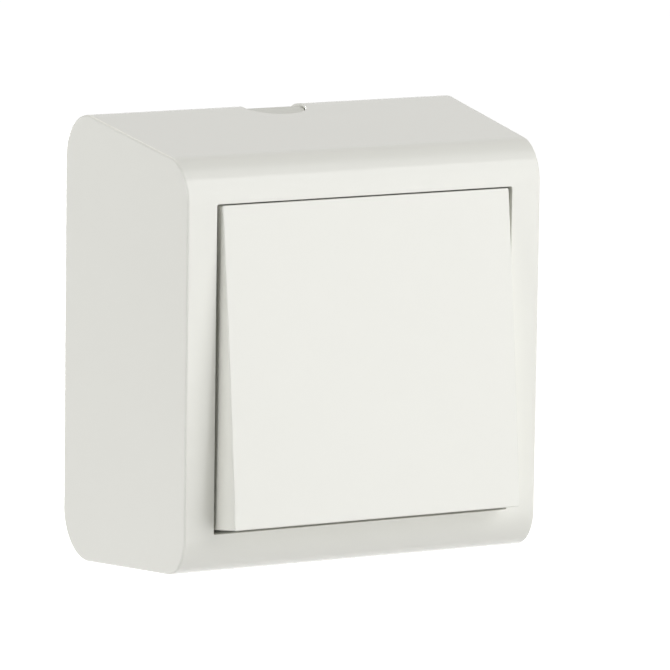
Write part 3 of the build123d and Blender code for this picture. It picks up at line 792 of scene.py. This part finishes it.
class SwitchMetal(bpy.types.Operator):
    """Gives the frame, clamps and contacts their metal finishes"""

    bl_idname = "switch.metal"
    bl_label = "Metal pieces"

    def execute(self, context):
        finish = context.scene.switch_finish
        # Steel sheet, punched and then plated with zinc: cool grey, with a blurred highlight.
        zinc = metal("zinc plated steel sheet", finish.zinc, 0.34, 0.4 * MM)
        dress(zinc, "mechanism_frame", "common_clamp", "upper_clamp", "lower_clamp")
        # Brass strip keeps the fine lines of its rolling, which draw highlights out along them.
        brass = metal("rolled brass strip", finish.brass, 0.28, 0.12 * MM, 0.06, (0.08, 1, 1))
        dress(brass, "moving_contact", "common_terminal", "upper_terminal", "lower_terminal")
        # Silver tips are pressed smooth, and are the brightest spots inside.
        silver = metal("pressed silver", finish.silver, 0.22, 0.1 * MM, 0.05)
        dress(silver, "moving_contact_tips", "upper_contact_tip", "lower_contact_tip")
        return {"FINISHED"}


class SwitchScrews(bpy.types.Operator):
    """Builds the frame, cover and terminal screws with threads and slotted heads"""

    bl_idname = "switch.screws"
    bl_label = "Screws"

    def execute(self, context):
        # Rolled and plated steel: grey, and glossier than the sheet on its rounded heads.
        zinc = metal("zinc plated screw", context.scene.switch_finish.zinc, 0.3, 0.15 * MM)
        self.group(context, "frame_screws", [(-1, -1), (-1, 1), (1, -1), (1, 1)], zinc)
        self.group(context, "cover_screws", [(-1, 1), (-1, -1), (1, 0)], zinc)
        self.group(context, "terminal_screws", [(-1, 0), (1, 1), (1, -1)], zinc)
        return {"FINISHED"}

    def group(self, context, node, signs, material):
        """One piece for the like screws of a node, with slots cut across their heads."""
        sizes = getattr(context.scene, "switch_" + node)
        head_radius = sizes.head_radius
        head_height = sizes.head_height
        low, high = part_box(node)
        spots = [(x * (high.x - head_radius), z * (high.z - head_radius)) for x, z in signs]
        shells = [self.screw(sizes, spot, low.y, high.y) for spot in spots]
        piece = solid(node + "_threaded", *shells)
        slots = []
        for number, (x, z) in enumerate(spots):
            profile = [(0, -head_height / 2), (0, BEYOND)]
            outline = rectangle(3 * head_radius, sizes.slot_width)
            shell = extruded(outline, profile, (x, low.y, z), (1, 0, 0), (0, 0, 1))
            slots.append(solid("slot" + str(number), shell))
        combine(piece, "DIFFERENCE", *slots)
        smooth(piece)
        piece.data.materials.append(material)
        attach(piece, "base")
        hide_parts(node)

    def screw(self, sizes, spot, front, tip):
        """A screw along Y as one surface over the angle and the distance from the tip.

        The phase p grows by one in a pitch along the shank or in a turn round it. The radius is the
        crest's less depth * pitch * fade * s, where s is (|2p - 1| - flat) / (1 - 2 * flat), kept
        between 0 and 1. The fade falls to nothing at both ends, and the tip is chamfered. The head
        is a flat disc whose upper edge is a quarter circle."""
        columns = 32
        rows_a_turn = 8
        rounding_steps = 6
        pitch = sizes.pitch
        angle = np.linspace(0, 2 * np.pi, columns, endpoint=False)[None]
        seat = front + sizes.head_height
        rows = int(np.ceil((tip - seat) / pitch * rows_a_turn))
        run = np.linspace(0, tip - seat, rows + 1)[:, None]
        phase = (run / pitch + angle / (2 * np.pi)) % 1
        fade = np.clip(np.minimum(run, tip - seat - run) / pitch, 0, 1)
        slope = np.clip((np.abs(2 * phase - 1) - THREAD_FLAT) / (1 - 2 * THREAD_FLAT), 0, 1)
        radius = sizes.shank_radius - THREAD_DEPTH * pitch * slope * fade
        tip_chamfer = pitch / 4
        radius[0] -= tip_chamfer
        depth = np.broadcast_to(tip - run, radius.shape)
        turn = np.linspace(0, np.pi / 2, rounding_steps + 1)[:, None]
        rounding = sizes.head_height / 2
        head_radii = np.concatenate([[[0]], -rounding * (1 - np.cos(turn))]) + sizes.head_radius
        head_depths = np.concatenate([[[seat]], front + rounding * (1 - np.sin(turn))])
        radii = np.concatenate([radius, np.broadcast_to(head_radii, (len(head_radii), columns))])
        depths = np.concatenate([depth, np.broadcast_to(head_depths, (len(head_depths), columns))])
        x = spot[0] + radii * np.cos(angle)
        z = spot[1] + radii * np.sin(angle)
        return ring_solid(np.stack([x, depths, z], axis=2))


class SwitchSpring(bpy.types.Operator):
    """Builds the plunger spring"""

    bl_idname = "switch.spring"
    bl_label = "Plunger spring"

    def execute(self, context):
        slide = joint_of("plunger_slide")
        axis = np.array(slide["axis"])
        pivot = np.array(joint_of("rocker_hinge")["pos_m"])
        vertices = frame["nodes"]["plunger_spring"].data.vertices
        packed = np.empty(3 * len(vertices), np.float32)
        vertices.foreach_get("co", packed)
        heights = (packed.reshape(-1, 3) - pivot) @ axis
        low = heights.min()
        high = heights.max()
        spring = solid("plunger_spring_wire", self.wire(context.scene.switch_spring, pivot, axis, low, high))
        smooth(spring)
        finish = context.scene.switch_finish
        # Wire drawn through a die: bright, with a sharp highlight along each turn.
        spring.data.materials.append(metal("drawn spring steel", finish.spring, 0.25, 0.05 * MM, 0.05))
        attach(spring, "rocker")
        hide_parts("plunger_spring")
        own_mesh(spring)
        return {"FINISHED"}

    def wire(self, sizes, pivot, axis, low, high):
        """The wire: a circle carried along a helix about the axis, from the height low to high.

        At the share s of the way, the wire's middle has turned by 2 pi * turns * s and risen by
        s * rise. The circle lies square to the helix's tangent."""
        steps_a_turn = 32
        wire_sides = 16
        side = np.array([1.0, 0.0, 0.0])
        other = np.cross(axis, side)
        whole_turn = 2 * np.pi * sizes.turns
        rise = high - low - 2 * sizes.wire_radius
        share = np.linspace(0, 1, steps_a_turn * sizes.turns + 1)[:, None]
        away = np.cos(whole_turn * share) * side + np.sin(whole_turn * share) * other
        around = np.cos(whole_turn * share) * other - np.sin(whole_turn * share) * side
        tangent = whole_turn * sizes.coil_radius * around + rise * axis
        beside = np.cross(tangent / np.linalg.norm(tangent, axis=1, keepdims=True), away)
        middle = pivot + (low + sizes.wire_radius + share * rise) * axis + sizes.coil_radius * away
        turn = np.linspace(0, 2 * np.pi, wire_sides, endpoint=False)[:, None]
        circle = np.cos(turn) * away[:, None] + np.sin(turn) * beside[:, None]
        return ring_solid(middle[:, None] + sizes.wire_radius * circle)


class SwitchStage(bpy.types.Operator):
    """Sets up the pale floor, the studio light and the camera"""

    bl_idname = "switch.stage"
    bl_label = "Stage"

    def execute(self, context):
        self.floor()
        self.world(context.scene)
        self.lamps()
        self.camera(context.scene)
        context.scene.view_settings.view_transform = "Standard"
        return {"FINISHED"}

    def seen(self, tree):
        """1 for rays that come from the camera, a reflection or a clear surface, and 0 for others."""
        rays = add_node(tree, "ShaderNodeLightPath")
        first = add_node(
            tree,
            "ShaderNodeMath",
            [(0, rays.outputs["Is Camera Ray"]), (1, rays.outputs["Is Glossy Ray"])],
            operation="MAXIMUM",
        ).outputs[0]
        return add_node(
            tree,
            "ShaderNodeMath",
            [(0, first), (1, rays.outputs["Is Transmission Ray"])],
            operation="MAXIMUM",
        ).outputs[0]

    def floor(self):
        """White floor well below the switch. It gives off enough light towards the camera to be
        white there, and still shows a shadow."""
        level = cad_box[0].z - FLOOR_DROP
        half = FLOOR_HALF_WIDTH
        corners = [(-half, -half, level), (half, -half, level), (half, half, level), (-half, half, level)]
        mesh = bpy.data.meshes.new("floor")
        mesh.from_pydata(corners, [], [(0, 1, 2, 3)])
        piece = bpy.data.objects.new("floor", mesh)
        bpy.context.scene.collection.objects.link(piece)
        material, output = new_material("white floor")
        tree = material.node_tree
        matt = add_node(tree, "ShaderNodeBsdfDiffuse", [("Color", (0.8, 0.8, 0.8, 1))])
        strength = add_node(
            tree, "ShaderNodeMapRange", [("Value", self.seen(tree)), ("To Max", FLOOR_GLOW)]
        ).outputs["Result"]
        glow = add_node(tree, "ShaderNodeEmission", [("Color", (1, 1, 1, 1)), ("Strength", strength)])
        both = add_node(tree, "ShaderNodeAddShader", [(0, matt.outputs[0]), (1, glow.outputs[0])])
        tree.links.new(both.outputs[0], output.inputs["Surface"])
        mesh.materials.append(material)

    def world(self, scene):
        """Even light from all round, which is white where it is seen."""
        world = bpy.data.worlds.new("studio")
        world.use_nodes = True
        tree = world.node_tree
        tree.nodes.clear()
        strength = add_node(
            tree,
            "ShaderNodeMapRange",
            [("Value", self.seen(tree)), ("To Min", WORLD_LIGHT), ("To Max", 1.0)],
        ).outputs["Result"]
        background = add_node(
            tree, "ShaderNodeBackground", [("Color", (1, 1, 1, 1)), ("Strength", strength)]
        )
        output = add_node(tree, "ShaderNodeOutputWorld")
        tree.links.new(background.outputs[0], output.inputs["Surface"])
        scene.world = world

    def lamps(self):
        """Soft boxes: azimuth and elevation from the front, width, height, power and colour."""
        boxes = (
            ("key", 35, 19.5, 1.1, 1.5, 13.9, "#FFFFFF"),
            ("top", 45, 57, 0.8, 0.6, 1.35, "#FFFFFF"),
            ("side", -92, 15, 1.15, 0.8, 9.4, "#FFFFFF"),
            ("back", 180, 50, 0.9, 0.9, 2.8, "#FFF8E8"),
            ("rear", 180, -8, 0.7, 0.3, 4.5, "#FFFFFF"),
        )
        centre = (cad_box[0] + cad_box[1]) / 2
        for name, azimuth, elevation, width, height, power, code in boxes:
            turn = np.radians(azimuth)
            rise = np.radians(elevation)
            away = Vector((np.sin(turn) * np.cos(rise), -np.cos(turn) * np.cos(rise), np.sin(rise)))
            light = bpy.data.lights.new(name, "AREA")
            light.shape = "RECTANGLE"
            light.size = width
            light.size_y = height
            light.energy = power
            light.color = linear(code)
            lamp = bpy.data.objects.new(name, light)
            lamp.location = centre + LAMP_DISTANCE * away
            lamp.rotation_mode = "QUATERNION"
            lamp.rotation_quaternion = (-away).to_track_quat("-Z", "Y")
            bpy.context.scene.collection.objects.link(lamp)

    def camera(self, scene):
        """The photograph's camera: round, above and away from the point that it looks at."""
        view = scene.switch_view
        back = Vector(
            (
                np.sin(view.azimuth) * np.cos(view.elevation),
                -np.cos(view.azimuth) * np.cos(view.elevation),
                np.sin(view.elevation),
            )
        )
        aim = Vector((view.aim_side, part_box("housing")[0].y, view.aim_height))
        camera = bpy.data.cameras.new("camera")
        camera.lens = view.lens
        camera.clip_start = 0.05
        camera.clip_end = 50
        eye = bpy.data.objects.new("camera", camera)
        eye.location = aim + view.distance * back
        eye.rotation_mode = "QUATERNION"
        eye.rotation_quaternion = (-back).to_track_quat("-Z", "Y") @ Quaternion((0, 0, 1), view.roll)
        scene.collection.objects.link(eye)
        scene.camera = eye


STEPS = (
    SwitchHousing,
    SwitchRocker,
    SwitchInside,
    SwitchMetal,
    SwitchScrews,
    SwitchSpring,
    SwitchStage,
)


class SwitchPanel(bpy.types.Panel):
    """Lists the steps that build the switch, and the sizes and colours that they use"""

    bl_idname = "VIEW3D_PT_switch"
    bl_label = "Light Switch"
    bl_space_type = "VIEW_3D"
    bl_region_type = "UI"
    bl_category = "Switch"

    def draw(self, context):
        for step in STEPS:
            self.layout.operator(step.bl_idname)
        for name, group in GROUPS.items():
            box = self.layout.box()
            box.label(text=name.replace("_", " ").capitalize())
            for entry in group.__annotations__:
                box.prop(getattr(context.scene, name), entry)


GROUPS = {
    "switch_housing": HousingSizes,
    "switch_rocker": RockerSizes,
    "switch_frame_screws": FrameScrewSizes,
    "switch_cover_screws": CoverScrewSizes,
    "switch_terminal_screws": TerminalScrewSizes,
    "switch_spring": SpringSizes,
    "switch_finish": SwitchFinish,
    "switch_view": StudioView,
}


def register():
    for name, group in GROUPS.items():
        bpy.utils.register_class(group)
        setattr(bpy.types.Scene, name, PointerProperty(type=group))
    for step in (*STEPS, SwitchPanel):
        bpy.utils.register_class(step)


def unregister():
    for step in reversed((*STEPS, SwitchPanel)):
        bpy.utils.unregister_class(step)
    for name, group in GROUPS.items():
        delattr(bpy.types.Scene, name)
        bpy.utils.unregister_class(group)


def main():
    """Builds the switch and its stage."""
    register()
    bpy.ops.switch.housing()
    bpy.ops.switch.rocker()
    bpy.ops.switch.inside()
    bpy.ops.switch.metal()
    bpy.ops.switch.screws()
    bpy.ops.switch.spring()
    bpy.ops.switch.stage()


if __name__ == "__main__":
    main()
